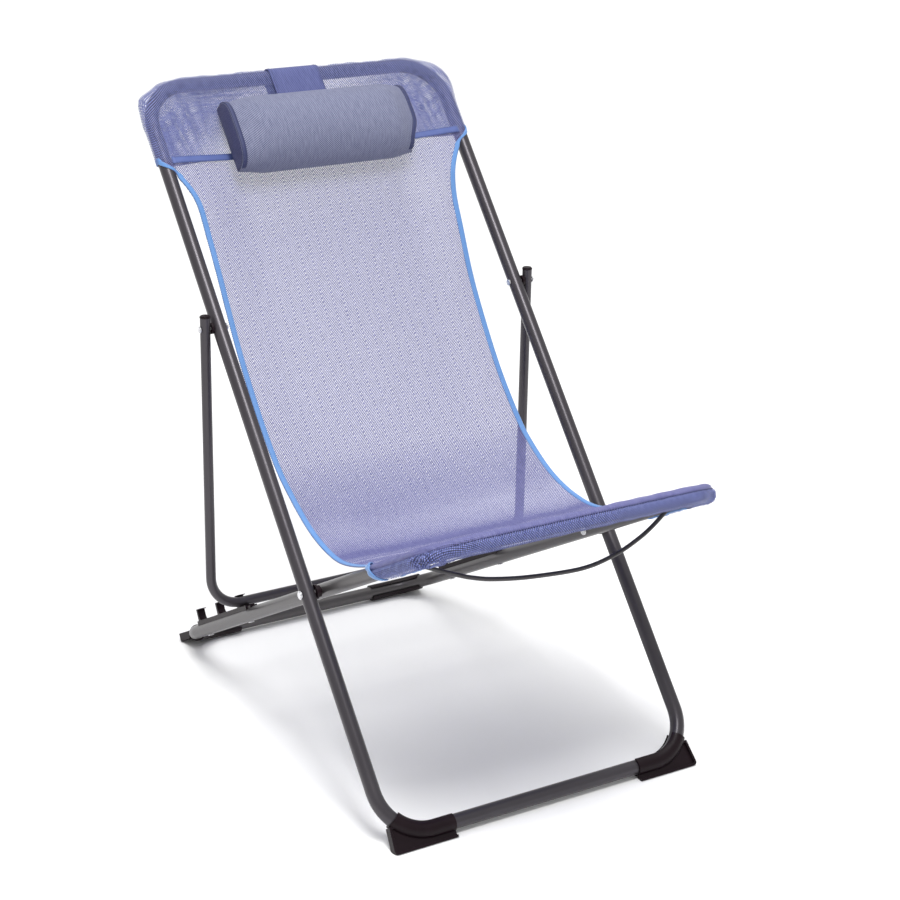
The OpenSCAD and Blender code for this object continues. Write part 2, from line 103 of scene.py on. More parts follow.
def make_camera():
    azimuth, pitch, roll = map(math.radians, (CAMERA_AZIMUTH, CAMERA_PITCH, CAMERA_ROLL))
    forward = Vector((-math.sin(azimuth), math.cos(azimuth), 0))
    ahead = math.cos(pitch) * forward - Vector((0, 0, math.sin(pitch)))
    level = Vector((math.cos(azimuth), math.sin(azimuth), 0))
    above = level.cross(ahead)
    right = math.cos(roll) * level + math.sin(roll) * above
    top = math.cos(roll) * above - math.sin(roll) * level
    data = bpy.data.cameras.new("camera")
    data.lens = CAMERA_LENS
    data.shift_x, data.shift_y = CAMERA_SHIFT
    data.clip_end = 100
    camera = bpy.data.objects.new("camera", data)
    turn = Matrix((right, top, -ahead)).transposed().to_4x4()
    camera.matrix_world = Matrix.Translation(CAMERA_PLACE) @ turn
    scene.collection.objects.link(camera)
    scene.camera = camera


make_camera()


# ---- Materials ----

SOCKETS = {  # short names for the shader's sockets
    "base": "Base Color", "coat": "Coat Weight", "coat_rough": "Coat Roughness",
    "sheen": "Sheen Weight", "sheen_rough": "Sheen Roughness", "specular": "Specular IOR Level",
}


class Nodes:
    """A material's node tree, with short calls to add to it."""

    def __init__(self, name):
        self.material = bpy.data.materials.new(name)
        self.material.use_nodes = True
        self.tree = self.material.node_tree
        self.shader = next(n for n in self.tree.nodes if n.type == "BSDF_PRINCIPLED")

    def add(self, kind, inputs=(), **settings):
        node = self.tree.nodes.new("ShaderNode" + kind)
        for key, value in settings.items():
            setattr(node, key, value)
        for key, value in dict(inputs).items():
            self.put(node.inputs[key], value)
        return node

    def put(self, socket, value):
        if isinstance(value, bpy.types.NodeSocket):
            self.tree.links.new(value, socket)
        else:
            socket.default_value = value

    def set(self, **inputs):
        for key, value in inputs.items():
            self.put(self.shader.inputs[SOCKETS.get(key, key.capitalize())], value)

    def math(self, operation, a, b=0.0):
        node = self.add("Math", operation=operation)
        for socket, value in zip(node.inputs, (a, b)):
            self.put(socket, value)
        return node.outputs[0]

    def noise(self, scale, detail=3.0, stretch=(1, 1, 1)):
        place = self.add("TexCoord").outputs["Object"]
        scaled = self.add("Mapping", {"Vector": place, "Scale": stretch}).outputs[0]
        return self.add("TexNoise", {"Vector": scaled, "Scale": scale, "Detail": detail}).outputs["Fac"]

    def between(self, share, low, high):
        return self.add("MapRange", {"Value": share, "To Min": low, "To Max": high}).outputs[0]

    def colours(self, share, low, high):
        ramp = self.add("ValToRGB", {"Fac": share})
        ramp.color_ramp.elements[0].color = (*low, 1)
        ramp.color_ramp.elements[1].color = (*high, 1)
        return ramp.outputs["Color"]

    def bump(self, height, distance, normal=None):
        node = self.add("Bump", {"Height": height, "Distance": distance, "Strength": 1.0})
        if normal is not None:
            self.put(node.inputs["Normal"], normal)
        return node.outputs[0]


def powder_coat(name, low, high):
    """Satin powder coat: a fine orange peel, and roughness that wanders a little."""
    m = Nodes(name)
    wander = m.noise(14)
    m.set(base=m.colours(wander, low, high), roughness=m.between(wander, 0.27, 0.36), metallic=0.5)
    m.set(coat=0.12, coat_rough=0.25, specular=0.35, normal=m.bump(m.noise(1900, 1), 0.00006))
    return m.material


def moulded_plastic(name, low, high):
    """Moulded plastic with a fine grain and softened edges."""
    m = Nodes(name)
    wander = m.noise(30)
    edge = m.add("Bevel", {"Radius": 0.0009}, samples=4).outputs[0]
    m.set(base=m.colours(wander, low, high), roughness=m.between(wander, 0.30, 0.45), specular=0.16)
    m.set(normal=m.bump(m.noise(2600, 2), 0.00006, normal=edge))
    return m.material


def bright_steel(name):
    """Rolled rivet steel with fine turning marks."""
    m = Nodes(name)
    marks = m.noise(240, 4, stretch=(0.15, 1, 1))
    edge = m.add("Bevel", {"Radius": 0.0006}, samples=4).outputs[0]
    m.set(base=m.colours(marks, (0.55, 0.55, 0.57), (0.8, 0.8, 0.82)), metallic=1.0)
    m.set(roughness=m.between(marks, 0.2, 0.36), normal=m.bump(marks, 0.00005, normal=edge))
    return m.material


def rubber(name):
    """Smooth extruded rubber with a dusty bloom."""
    m = Nodes(name)
    bloom = m.noise(90, 4)
    m.set(base=m.colours(bloom, (0.016, 0.014, 0.017), (0.05, 0.045, 0.05)))
    m.set(roughness=m.between(bloom, 0.34, 0.5), normal=m.bump(m.noise(1500, 2), 0.00005))
    return m.material


WARP_PITCH = 0.0036  # two yarns of the open weave, across
WEFT_PITCH = 0.0033  # and along
RIB_PITCH = 5 * WARP_PITCH  # a column of heavier crossings


def woven(name, low, high, opening=None, bump=0.00025, marks=0.0, relief_light=0.75, seat_shade=0.0):
    """Coated yarn in an open basket weave. opening is how far the crossing waves must rise to leave
    a hole: the smaller, the more open. None is closed cloth. marks is the strength of the ribs. relief_light
    is painted light and shade: how much lighter the raised yarns are, and darker those dipping at the holes.
    seat_shade is painted shade: how far the weave closes towards the seat, so the cloth looks darker and bluer
    there."""
    m = Nodes(name)
    cloth = m.add("Attribute", attribute_name="cloth").outputs["Vector"]
    parts = m.add("SeparateXYZ", {"Vector": cloth})
    across, along = parts.outputs[0], parts.outputs[1]
    wave = []
    for place, size in ((across, WARP_PITCH), (along, WEFT_PITCH)):
        wave.append(m.math("COSINE", m.math("MULTIPLY", place, 2 * math.pi / size)))
    crossing = m.math("MULTIPLY", wave[0], wave[1])
    slub = m.add("TexNoise", {"Vector": m.add("Mapping", {"Vector": cloth, "Scale": (1, 0.2, 1)}).outputs[0],
                              "Scale": 300.0, "Detail": 2.0}).outputs["Fac"]
    # Painted light on the yarns: the raised yarns lighter, a painted highlight, and the yarns dipping at the holes
    # darker, painted shade. slub is the yarns' own uneven tone.
    raised = m.math("SUBTRACT", 0.0 if opening is None else -0.5, crossing)
    tone_and_relief_light = m.math("ADD", m.math("MULTIPLY", raised, relief_light), slub)
    m.set(base=m.colours(tone_and_relief_light, low, high), roughness=0.5, sheen=0.06, sheen_rough=0.4, specular=0.3)
    m.set(normal=m.bump(m.math("ABSOLUTE", crossing), bump))
    if opening is not None:
        # Along every eighth yarn the holes are large and small by turns
        rib = m.math("COSINE", m.math("MULTIPLY", across, 2 * math.pi / RIB_PITCH))
        rib = m.math("POWER", m.math("MAXIMUM", rib, 0.0), 14.0)
        turn = m.math("COSINE", m.math("MULTIPLY", along, math.pi / WEFT_PITCH))
        # Painted shade: the holes close towards the seat, so the cloth there looks darker and bluer, as it does
        # over the shaded floor and at a grazing view.
        near_seat = m.add("MapRange", {"Value": along, "From Min": 0.50, "From Max": 0.80,
                                       "To Min": opening, "To Max": opening + seat_shade}).outputs[0]
        dots = m.math("MULTIPLY", m.math("MULTIPLY", rib, turn), marks)
        edge = m.math("ADD", near_seat, dots)
        m.set(alpha=m.math("LESS_THAN", crossing, edge))
    return m.material


def bias_tape(name, low, high):
    """Smooth folded tape with fine ribs across it."""
    m = Nodes(name)
    wander = m.noise(60)
    m.set(base=m.colours(wander, low, high), roughness=0.6, sheen=0.3, sheen_rough=0.4)
    m.set(normal=m.bump(m.noise(1300, 3), 0.0001))
    return m.material


DARK_PAINT = powder_coat("frame_dark", (0.050, 0.045, 0.052), (0.064, 0.058, 0.066))
# The seat frame's coat: lighter than the dark coat, partly its own grey and partly painted light, for the light
# that falls on the seat frame's upward-facing tubes.
GREY_PAINT_WITH_PAINTED_LIGHT = powder_coat("frame_grey", (0.076, 0.071, 0.073), (0.094, 0.088, 0.090))
BLACK_PLASTIC = moulded_plastic("black_plastic", (0.006, 0.0025, 0.004), (0.013, 0.006, 0.009))
BRIGHT_STEEL = bright_steel("rivet_steel")
BLACK_RUBBER = rubber("cord")
# The sling: its weave closes towards the seat as painted shade, and its raised yarns carry painted light.
SLING_MESH = woven("sling_mesh", (0.080, 0.084, 0.245), (0.230, 0.232, 0.45), opening=-0.02, marks=0.30,
                   relief_light=0.20, seat_shade=0.44)
POCKET_MESH = woven("pocket_mesh", (0.036, 0.046, 0.165), (0.255, 0.285, 0.58), opening=-0.17, marks=0.3,
                    relief_light=1.0)
FRONT_MESH = woven("front_mesh", (0.050, 0.064, 0.22), (0.30, 0.34, 0.68), opening=0.02, marks=0.4, relief_light=0.9)
STRAP_MESH = woven("strap_mesh", (0.036, 0.045, 0.15), (0.115, 0.13, 0.30))
PILLOW_MESH = woven("pillow_mesh", (0.062, 0.070, 0.145), (0.25, 0.265, 0.37), bump=0.0004, relief_light=1.0)
PILLOW_FLANGE = woven("pillow_flange", (0.034, 0.040, 0.105), (0.115, 0.125, 0.24), bump=0.0004)
# The pillow's end panels: a much darker copy of its mesh, painted shade on the ends, which face away from the
# light.
SHADED_PILLOW_END = woven("pillow_end_painted_shade", (0.021, 0.023, 0.078), (0.058, 0.062, 0.15), bump=0.0004)
LIGHT_TAPE = bias_tape("light_tape", (0.085, 0.215, 0.49), (0.125, 0.27, 0.56))
BLUE_TAPE = bias_tape("blue_tape", (0.05, 0.08, 0.25), (0.085, 0.12, 0.32))
THREAD = bias_tape("thread", (0.02, 0.024, 0.09), (0.04, 0.045, 0.14))


def finish_cad_nodes():
    """Gives every CAD node its material."""
    by_slot = {
        "frame_dark": DARK_PAINT, "frame_grey": GREY_PAINT_WITH_PAINTED_LIGHT, "bare_steel": BRIGHT_STEEL,
        "rivet_steel": BRIGHT_STEEL, "black_plastic": BLACK_PLASTIC, "cord": BLACK_RUBBER,
        "sling_mesh": SLING_MESH, "pocket_mesh": STRAP_MESH, "pillow_mesh": PILLOW_MESH, "foam": PILLOW_MESH,
    }
    slots = {s["node"]: s["material_slot"] for s in frame["record"]["subparts"]}
    for name, node in frame["nodes"].items():
        node.data.materials.clear()
        node.data.materials.append(by_slot[slots[name]])


finish_cad_nodes()


# ---- Mesh helpers ----

def smoothstep(t):
    t = np.clip(t, 0, 1)
    return t * t * (3 - 2 * t)


def bell(away, width):
    """1 at no distance, falling off smoothly within about the width."""
    return np.exp(-(away / width) ** 2)


def ripple(place, length, phase=0.0):
    """A sine wave of a given length."""
    return np.sin(place * 2 * math.pi / length + phase)


def lengths(points):
    """The distance along a line of points, from its first."""
    return np.concatenate([[0], np.cumsum(np.linalg.norm(np.diff(points, axis=0), axis=1))])


def directions(points):
    """Unit directions along a line of points."""
    ahead = np.gradient(points, axis=0)
    return ahead / np.linalg.norm(ahead, axis=1)[:, None]


def grid_faces(rows, cols, start=0, closed=False):
    last = cols if closed else cols - 1
    return [(start + r * cols + c, start + r * cols + (c + 1) % cols,
             start + (r + 1) * cols + (c + 1) % cols, start + (r + 1) * cols + c)
            for r in range(rows - 1) for c in range(last)]


class Build:
    """Gathers points, faces and cloth coordinates, then makes one mesh of them."""

    def __init__(self):
        self.points, self.faces, self.cloth, self.paint, self.count = [], [], [], [], 0

    def grid(self, points, cloth=None, closed=False, paint=0):
        rows, cols = points.shape[:2]
        faces = grid_faces(rows, cols, self.count, closed)
        self.faces += faces
        self.paint += [paint] * len(faces)
        self.points.append(points.reshape(-1, 3))
        flat = np.zeros((rows * cols, 3))
        if cloth is not None:
            flat[:, :2] = cloth.reshape(-1, 2)
        self.cloth.append(flat)
        self.count += rows * cols

    def cap(self, ring):
        """Closes the end of a tube of rings."""
        self.grid(np.stack([ring, np.broadcast_to(ring.mean(0), ring.shape)]), closed=True)

    def make(self, name, materials, thickness=None, weld=1e-5):
        mesh = bpy.data.meshes.new(name)
        mesh.from_pydata(np.concatenate(self.points).tolist(), [], self.faces)
        cloth = mesh.attributes.new("cloth", "FLOAT_VECTOR", "POINT")
        cloth.data.foreach_set("vector", np.concatenate(self.cloth).ravel().astype(np.float32))
        mesh.polygons.foreach_set("material_index", self.paint)
        work = bmesh.new()
        work.from_mesh(mesh)
        bmesh.ops.remove_doubles(work, verts=work.verts, dist=weld)
        bmesh.ops.dissolve_degenerate(work, edges=work.edges, dist=1e-7)
        bmesh.ops.recalc_face_normals(work, faces=work.faces)
        for face in work.faces:
            face.smooth = True
        work.to_mesh(mesh)
        work.free()
        piece = bpy.data.objects.new(name, mesh)
        scene.collection.objects.link(piece)
        for material in materials:
            mesh.materials.append(material)
        if thickness:
            solid = piece.modifiers.new("thickness", "SOLIDIFY")
            solid.thickness = thickness
            solid.offset = 0
        return piece


def sweep(name, path, normals, inward, wide, thick, material, shift=None, closed=False, sides=12):
    """A band of rounded section along a path. inward is +1 or -1: the side of the path it lies on."""
    path, normals = np.asarray(path), np.asarray(normals)
    ahead = directions(path)
    side = np.cross(normals, ahead)
    side /= np.linalg.norm(side, axis=1)[:, None]
    up = np.cross(ahead, side)
    middle = path + side * inward * (wide / 2 if shift is None else shift)
    turn = np.linspace(0, 2 * math.pi, sides, endpoint=False)
    # A flattened round: nearly flat faces and rounded edges
    flat = np.sign(np.cos(turn)) * np.abs(np.cos(turn)) ** 0.7 * wide / 2
    rise = np.sign(np.sin(turn)) * np.abs(np.sin(turn)) ** 0.7 * thick / 2
    rings = middle[:, None] + flat[None, :, None] * side[:, None] + rise[None, :, None] * up[:, None]
    build = Build()
    build.grid(rings, closed=True)
    build.cap(rings[0])
    build.cap(rings[-1])
    return build.make(name, [material])


def stitches(name, path, normals, material, pitch=0.005, long=0.0032, thick=0.0008):
    """A row of sewn stitches lying on a surface along a path."""
    path, normals = np.asarray(path), np.asarray(normals)
    far = lengths(path)
    build = Build()
    for start in np.arange(pitch, far[-1] - pitch, pitch):
        at = start + np.linspace(0, long, 5)
        middle = np.stack([np.interp(at, far, path[:, k]) for k in range(3)], 1)
        up = np.stack([np.interp(at, far, normals[:, k]) for k in range(3)], 1)
        up /= np.linalg.norm(up, axis=1)[:, None]
        side = np.cross(up, directions(middle))
        swell = thick / 2 * np.array([0.25, 0.85, 1.0, 0.85, 0.25])
        middle = middle + up * (np.array([-0.3, 0.25, 0.4, 0.25, -0.3]) * thick)[:, None]
        turn = np.linspace(0, 2 * math.pi, 6, endpoint=False)
        rings = (middle[:, None] + (swell[:, None] * np.cos(turn))[..., None] * side[:, None]
                 + (swell[:, None] * np.sin(turn))[..., None] * up[:, None])
        build.grid(rings, closed=True)
        build.cap(rings[0])
        build.cap(rings[-1])
    return build.make(name, [material])


# ---- The plate: a flat area inside a frame's end, with its rounded corners ----

def plate(half, reach, cols, rows):
    """Grid points (x, r) from the mouth at r = 0 to the rail's centre line at r = reach."""
    x, r = np.meshgrid(np.linspace(-half, half, cols), np.linspace(0, reach, rows))
    p, q = (np.abs(x) - (half - BEND_R)) / BEND_R, (r - (reach - BEND_R)) / BEND_R
    corner = (p > 0) & (q > 0)
    round_p, round_q = p * np.sqrt(np.maximum(1 - q * q / 2, 0)), q * np.sqrt(np.maximum(1 - p * p / 2, 0))
    x = np.where(corner, np.sign(x) * (half - BEND_R + BEND_R * round_p), x)
    r = np.where(corner, reach - BEND_R + BEND_R * round_q, r)
    return x, r


def rim(x, r, half, reach):
    """The plate's outer edge from mouth to mouth, with its outward directions, in (x, r)."""
    px = np.concatenate([x[:, 0], x[-1, 1:-1], x[::-1, -1]])
    pr = np.concatenate([r[:, 0], r[-1, 1:-1], r[::-1, -1]])
    cx, cr = np.sign(px) * (half - BEND_R), reach - BEND_R
    corner = (np.abs(px) > half - BEND_R + 1e-6) & (pr > cr + 1e-6)
    ox = np.where(corner, (px - cx) / BEND_R, np.where(np.abs(px) > half - 1e-6, np.sign(px), 0.0))
    orr = np.where(corner, (pr - cr) / BEND_R, np.where(np.abs(px) > half - 1e-6, 0.0, 1.0))
    return px, pr, ox, orr


def relax(height, turns=500):
    """Stretches a grid of heights like a soap film between its fixed outer nodes."""
    for _ in range(turns):
        height[1:-1, 1:-1] = (height[:-2, 1:-1] + height[2:, 1:-1] + height[1:-1, :-2] + height[1:-1, 2:]) / 4
    return height


def creases(x, r, seed, size, scale):
    """Soft random creases: a few crossing waves."""
    rng = np.random.default_rng(seed)
    total = np.zeros_like(x)
    for _ in range(7):
        angle, length, phase = rng.uniform(0, math.pi), scale * rng.uniform(0.6, 1.6), rng.uniform(0, 7)
        total += ripple(x * math.cos(angle) + r * math.sin(angle), length, phase)
    return total * size / 3


# ---- The sling, hung between the frames ----

# The sling's edge seen from the side: back from the floor rail, up, and half the width there
SIDE_POINTS = np.array([
    (0.6976, 0.8399, 0.2810), (0.676, 0.829, 0.2575), (0.663, 0.807, 0.2415), (0.651, 0.782, 0.2305),
    (0.637, 0.744, 0.2265), (0.617, 0.709, 0.2250), (0.594, 0.663, 0.2230), (0.570, 0.618, 0.2220),
    (0.536, 0.564, 0.2220), (0.484, 0.492, 0.2210), (0.423, 0.427, 0.2210), (0.394, 0.405, 0.2205),
    (0.339, 0.372, 0.2210), (0.285, 0.354, 0.2230), (0.229, 0.348, 0.2250), (0.192, 0.354, 0.2265),
    (0.155, 0.3655, 0.2290),
])


def through(points, before, after, steps):
    """A smooth curve through all the points, with steps between each two. Its first and last stretch
    bend as if it came from before and went on to after."""
    ends = np.concatenate([before, points, after])
    t = np.linspace(0, 1, steps, endpoint=False)[:, None]
    line = [b + t / 2 * (c - a + t * (2 * a - 5 * b + 4 * c - d + t * (3 * (b - c) + d - a)))
            for a, b, c, d in zip(ends, ends[1:], ends[2:], ends[3:])]
    return np.concatenate([*line, points[-1:]])


def side_view():
    """Rows of the sling from the head pocket's mouth to the seat's side tubes: middle line, the
    direction out of its face, the distance along it, and half its width."""
    points = SIDE_POINTS - np.array([FLOOR_RAIL, 0, 0])
    top = on_back(0.0, HEAD_MOUTH, CLOTH_R)
    points[0, :2] = top[1:]
    mouth = on_seat(0.0, SEAT_MOUTH, CLOTH_R)
    points = np.concatenate([points, [(*mouth[1:], SEAT_HALF)]])
    line = through(points, 2 * points[:1] - points[1:2], 2 * points[-1:] - points[-2:-1], 14)
    for _ in range(60):  # takes the measuring noise out of the curve
        line[1:-1] = line[1:-1] / 2 + (line[:-2] + line[2:]) / 4
    line3 = np.column_stack([np.zeros(len(line)), line[:, :2]])
    out = np.cross(directions(line3), ACROSS)
    near = 1 - smoothstep(lengths(line3) / 0.035)
    out = out * (1 - near)[:, None] + near[:, None] * BACK_OUT
    return line3, out / np.linalg.norm(out, axis=1)[:, None], lengths(line3), line[:, 2]


SIDE_LINE, SIDE_OUT, SIDE_FAR, SIDE_HALF = side_view()


def half_width(far):
    """Half the sling's width: it runs out over the tubes at both pockets."""
    return np.interp(far, SIDE_FAR, SIDE_HALF)


MIDDLE_HALF = 0.130  # half the width over which the cloth hangs fully


def tube_ramp(x, half):
    """0 in the middle of the cloth, rising to 1 where it lies on the tube."""
    return smoothstep((np.abs(x) - MIDDLE_HALF) / (min(half, BACK_HALF) - MIDDLE_HALF))


HANG_TOP, HANG_LOW = 0.0117, 0.004  # how far the sling's middle hangs behind its edges
SLING_COLS = 97
SIDES = np.linspace(-1, 1, SLING_COLS)


def sling_rows():
    """The hung part of the sling, as a grid, with the directions out of its face. SIDE_LINE is the
    line of its edges, and its middle hangs behind them near the head pocket."""
    points, outs, cloth = [], [], []
    for edge, out, far, half in zip(SIDE_LINE, SIDE_OUT, SIDE_FAR, SIDE_HALF):
        reach = SIDES * half
        over = np.maximum(np.abs(reach) - BACK_HALF, 0) / CLOTH_R  # angle run round the tube
        x = np.sign(reach) * (np.minimum(np.abs(reach), BACK_HALF) + CLOTH_R * np.sin(over))
        hang = HANG_TOP * (1 - smoothstep((far - 0.030) / 0.30)) + HANG_LOW * smoothstep((far - 0.1) / 0.3)
        lift = -hang * (1 - tube_ramp(x, half)) - CLOTH_R * (1 - np.cos(over))
        lift = lift * smoothstep((SIDE_FAR[-1] - far) / 0.15)  # flat again by the seat frame
        points.append(edge + x[:, None] * ACROSS + lift[:, None] * out)
        outs.append(np.broadcast_to(out, (SLING_COLS, 3)))
        cloth.append(np.stack([reach, np.full(SLING_COLS, far)], 1))
    return clear_of_tubes(np.array(points)), np.array(outs), np.array(cloth)


def clear_of_tubes(points):
    """Lifts the cloth off the back frame's side tubes, where its edges cross them."""
    away = points - TOP_RAIL
    out, beside = away @ BACK_OUT, np.abs(points[..., 0]) - BACK_HALF
    far = np.maximum(np.hypot(out, beside), 1e-6)
    in_front = out > -0.003
    push = np.where((far < CLOTH_R) & in_front, CLOTH_R / far - 1, 0)
    push_x = push * beside * np.sign(points[..., 0])
    return points + push_x[..., None] * ACROSS + (push * out)[..., None] * BACK_OUT


def face_normals(points, outs):
    """The directions out of a grid of points."""
    normal = np.cross(np.gradient(points, axis=0), np.gradient(points, axis=1))
    normal /= np.linalg.norm(normal, axis=-1)[..., None]
    return normal * np.where((normal * outs).sum(-1) < 0, -1, 1)[..., None]


ROWS, ROW_OUTS, ROW_CLOTH = sling_rows()
ROW_NORMALS = face_normals(ROWS, ROW_OUTS)


# ---- Front pocket: the plate on the seat frame, and the wrap round its tubes ----

SEAT_REACH = SEAT_FRONT - SEAT_MOUTH
SEAM_TURN = math.radians(72)  # where the sling is sewn to the pocket, round the front rail
SEAM_DEPTH, SEAM_WIDTH = 0.0024, 0.16  # how far the cloth dips at the seam, and over what angle
SEAT_SAG = 0.0022  # how far the cloth dips inside the seat frame's front
SWIRL_HEIGHT, SWIRL_REACH, SWIRL_PITCH = 0.0026, 0.021, 0.0066  # the gathers at each front corner
SWIRL_TURN = 2.0
GATHER_HEIGHT, GATHER_PITCH = 0.0004, 0.011  # the small gathers just under the seam
HEM_INSETS = (0.006, 0.012, 0.018, 0.022)  # rows of the hem that runs on inwards, underneath
front_x, front_r = plate(SEAT_HALF, SEAT_REACH, SLING_COLS, 52)
front_rim = rim(front_x, front_r, SEAT_HALF, SEAT_REACH)
fine_rim = rim(*plate(SEAT_HALF, SEAT_REACH, 385, 205), SEAT_HALF, SEAT_REACH)  # for the gathered corners


def front_wrap(turn, inset=0.0, around=front_rim):
    """The cloth round the seat frame's tubes at one angle from their top, from mouth to mouth.
    The mouth runs slantwise, further forward underneath. inset is how far it runs on inwards."""
    px, pr, ox, orr = around
    slant = (SEAT_MOUTH_UNDER - SEAT_MOUTH) * min(turn / math.pi, 1.0)
    fade = 1 - np.clip(pr / (SEAT_REACH - BEND_R), 0, 1)
    forward = SEAT_MOUTH + pr + slant * fade * (np.abs(orr) < 1e-6)
    # A crease where the two cloths are sewn, and a slight looseness elsewhere
    radius = CLOTH_R + SEAM_DEPTH * (1 - bell(turn - SEAM_TURN, SEAM_WIDTH)) * math.sin(turn)
    loose = 0.0006 + creases(px, pr + turn * 0.02, 5, 0.0005, 0.035)
    radius = radius + np.maximum(loose, 0) + pucker_at(px, pr, turn)
    out_by = radius * math.sin(turn) - inset
    points = on_seat(px + ox * out_by, forward + orr * out_by, radius * math.cos(turn))
    arc = CLOTH_R * turn + inset
    cloth = np.stack([px + ox * arc, SIDE_FAR[-1] + pr + orr * arc], 1)
    return points, cloth


def pucker_at(px, pr, turn):
    """The gathered swirl of cloth at each front corner, and the small gathers along the seam."""
    centre_x, centre_r = SEAT_HALF - 0.10 * BEND_R, SEAT_REACH - 0.62 * BEND_R
    away = np.hypot(np.abs(px) - centre_x, pr - centre_r)
    ring = np.hypot(away, CLOTH_R * 1.4 * (turn - SWIRL_TURN))
    swirl = SWIRL_HEIGHT * bell(ring, SWIRL_REACH) * (0.9 + np.cos(ring * 2 * math.pi / SWIRL_PITCH))
    gathers = GATHER_HEIGHT * ripple(px, GATHER_PITCH) * bell(turn - SEAM_TURN - 0.22, 0.25)
    return swirl + gathers


def make_sling():
    """One sheet from the head pocket's mouth, down and forward, over the front rail to its seam."""
    build = Build()
    build.grid(ROWS, ROW_CLOTH)
    sag = -SEAT_SAG * np.sin(math.pi * front_r / SEAT_REACH) * (1 - (front_x / SEAT_HALF) ** 2)
    top = on_seat(front_x, SEAT_MOUTH + front_r, CLOTH_R + sag)
    # The plate's rim meets the wrap's first ring
    wraps = [front_wrap(t) for t in np.linspace(0, SEAM_TURN, 9)]
    wrap_points, wrap_cloth = np.array([w[0] for w in wraps]), np.array([w[1] for w in wraps])
    rows = top.shape[0]
    first = wrap_points[0]
    top[:, 0], top[-1, 1:-1], top[::-1, -1] = first[:rows], first[rows:-rows], first[-rows:]
    top[0] = ROWS[-1]
    wrap_points[0][0], wrap_points[0][-1] = top[0, 0], top[0, -1]
    build.grid(top, np.stack([front_x, SIDE_FAR[-1] + front_r], -1))
    build.grid(wrap_points, wrap_cloth)
    sling = build.make("sling", [SLING_MESH], CLOTH_T)
    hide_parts("sling_back", "sling_seat")
    return sling, wrap_points[-1]


def make_front_pocket():
    """The pocket's own cloth: from the seam down round the rail, and a hem inwards underneath."""
    wraps = [front_wrap(t, 0.0, fine_rim) for t in np.linspace(SEAM_TURN, math.pi, 25)]
    wraps += [front_wrap(math.pi, inset, fine_rim) for inset in HEM_INSETS]
    points, cloth = np.array([w[0] for w in wraps]), np.array([w[1] for w in wraps])
    build = Build()
    build.grid(points, cloth)
    pocket = build.make("front_pocket_cloth", [FRONT_MESH], CLOTH_T)
    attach(pocket, "seat_frame")
    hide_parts("front_pocket")
    return pocket, points


sling, seam_line = make_sling()
front_pocket, front_points = make_front_pocket()


# ---- Head pocket: front and back plates joined round the tube ----

POCKET_COLS, POCKET_ROWS, POCKET_TURNS = 107, 34, 15
LOOSE_AT = (0.246, 0.100)  # the loose corners: across from the middle, and up from the mouth
LOOSE_LEFT, LOOSE_RIGHT = 0.0112, 0.0066  # how far they stand off the tube
PULL_AT = (0.243, 0.020)  # where the folds fan out from: across, and down from the rail


def pocket_bulge(px, pr, turn):
    """Loose cloth that stands off the tube at the corners, more on one side."""
    corner = bell(np.abs(px) - LOOSE_AT[0], 0.028) * bell(pr - LOOSE_AT[1], 0.030)
    lumps = 1 + 0.20 * np.sin(pr * 120 + px * 90)
    uneven = np.where(px > 0, LOOSE_LEFT, LOOSE_RIGHT) * lumps
    along_rail = 0.0006 * (1 + np.sin(px * 70 + 1)) + 0.0005 * np.sin(px * 190)
    return (corner * uneven + along_rail) * math.sin(turn)


def pocket_wrap(edge, turn):
    """The pocket's cloth round the tube at one angle from its front."""
    px, pr, ox, orr = edge
    bulge = pocket_bulge(px, pr, turn)
    out_by = (CLOTH_R + bulge) * math.sin(turn) + bulge * 0.4
    points = on_back(px + ox * out_by, HEAD_MOUTH - pr - orr * out_by, CLOTH_R * math.cos(turn))
    arc = CLOTH_R * turn
    return points, np.stack([px + ox * arc, -pr - orr * arc], 1)


def pocket_face(x, r, face):
    """How far the pocket's front (face 1) or back (face -1) lies out of the tube's plane: taut
    between the tube and the mouth, with streaks under the rail, side folds and pulls at the corners."""
    height = np.full(x.shape, CLOTH_R * face)
    # The mouth's front edge lies on the sling, the back edge just behind it
    height[0] = CLOTH_R * tube_ramp(x[0], BACK_HALF) * face - (0.0 if face > 0 else 0.0016)
    height[0, 0] = height[0, -1] = CLOTH_R * face
    height = relax(height)
    in_x, in_r = BACK_HALF - np.abs(x), HEAD_MOUTH - r
    bend = BEND_R - np.hypot(BEND_R - in_x, BEND_R - in_r)
    inner = np.where((in_x < BEND_R) & (in_r < BEND_R), bend, np.minimum(in_x, in_r))
    fade = smoothstep(inner / 0.018) * smoothstep(r / 0.02)
    streaks = 0.0022 * ripple(in_r, 0.013, 2.5 * x) * bell(in_r - 0.030, 0.017)
    side_folds = 0.0020 * ripple(x, 0.026, r * 34) * smoothstep((np.abs(x) - 0.15) / 0.05)
    away = np.hypot(np.abs(x) - PULL_AT[0], in_r - PULL_AT[1])
    pull = 0.0016 * ripple(away, 0.019) * bell(away, 0.06)
    return height + face * fade * (streaks + side_folds + pull + creases(x, r, 11 + face, 0.0011, 0.05))


def make_head_pocket():
    x, r = plate(BACK_HALF, HEAD_MOUTH, POCKET_COLS, POCKET_ROWS)
    edge = rim(x, r, BACK_HALF, HEAD_MOUTH)
    build = Build()
    wraps = [pocket_wrap(edge, turn) for turn in np.linspace(0, math.pi, POCKET_TURNS)]
    build.grid(np.array([w[0] for w in wraps]), np.array([w[1] for w in wraps]))
    for face in (1, -1):
        points = on_back(x, HEAD_MOUTH - r, pocket_face(x, r, face))
        build.grid(points, np.stack([x, -r], -1))
    pocket = build.make("head_pocket_cloth", [POCKET_MESH], CLOTH_T, weld=2e-5)
    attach(pocket, "back_frame")
    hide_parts("head_pocket")
    return pocket


head_pocket = make_head_pocket()


# ---- Tapes and bindings ----

